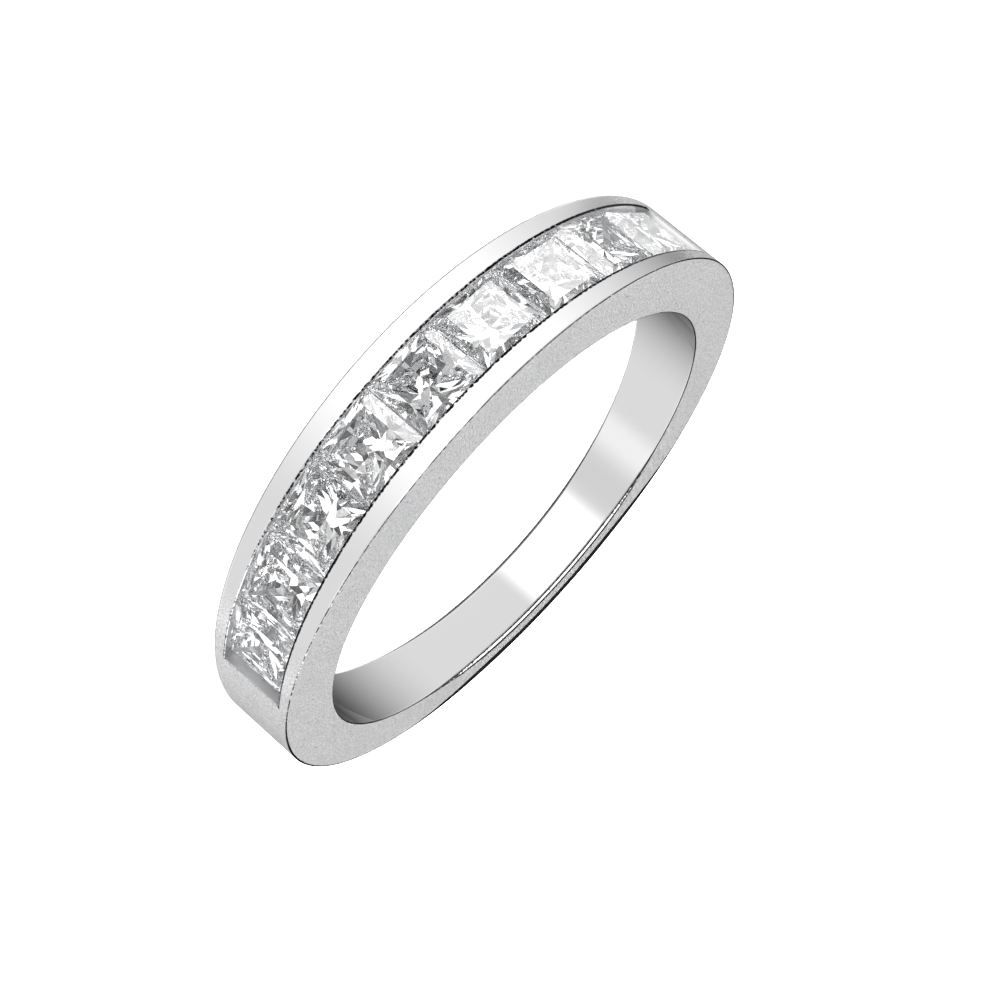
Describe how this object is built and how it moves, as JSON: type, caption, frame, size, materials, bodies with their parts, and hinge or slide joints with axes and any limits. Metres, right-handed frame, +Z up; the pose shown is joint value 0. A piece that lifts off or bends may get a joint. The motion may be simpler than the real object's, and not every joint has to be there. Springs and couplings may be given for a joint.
{
  "type": "diamond half-eternity ring",
  "caption": "Tapered white-gold finger ring with a row of square diamonds set edge to edge in a channel between two rails.",
  "frame": {"origin": "centre of the finger hole, on its axis, halfway between the two side faces", "axes": "+Z up from the surface that the ring lies on, which leans 2.9 degrees from the finger axis because the band tapers; +X towards the middle stone; +Y towards stone 1's end of the row"},
  "size_m": [0.021, 0.021, 0.0039],
  "materials": {
    "white_gold": "mirror-polished rails and finger hole, fine satin side faces and shank",
    "diamond": "clear, polished flat facets"
  },
  "bodies": {
    "root": {"ring_band": "white_gold", "diamond_1": "diamond", "diamond_2": "diamond", "diamond_3": "diamond", "diamond_4": "diamond", "diamond_5": "diamond", "diamond_6": "diamond", "diamond_7": "diamond", "diamond_8": "diamond", "diamond_9": "diamond"}
  },
  "joints": []
}
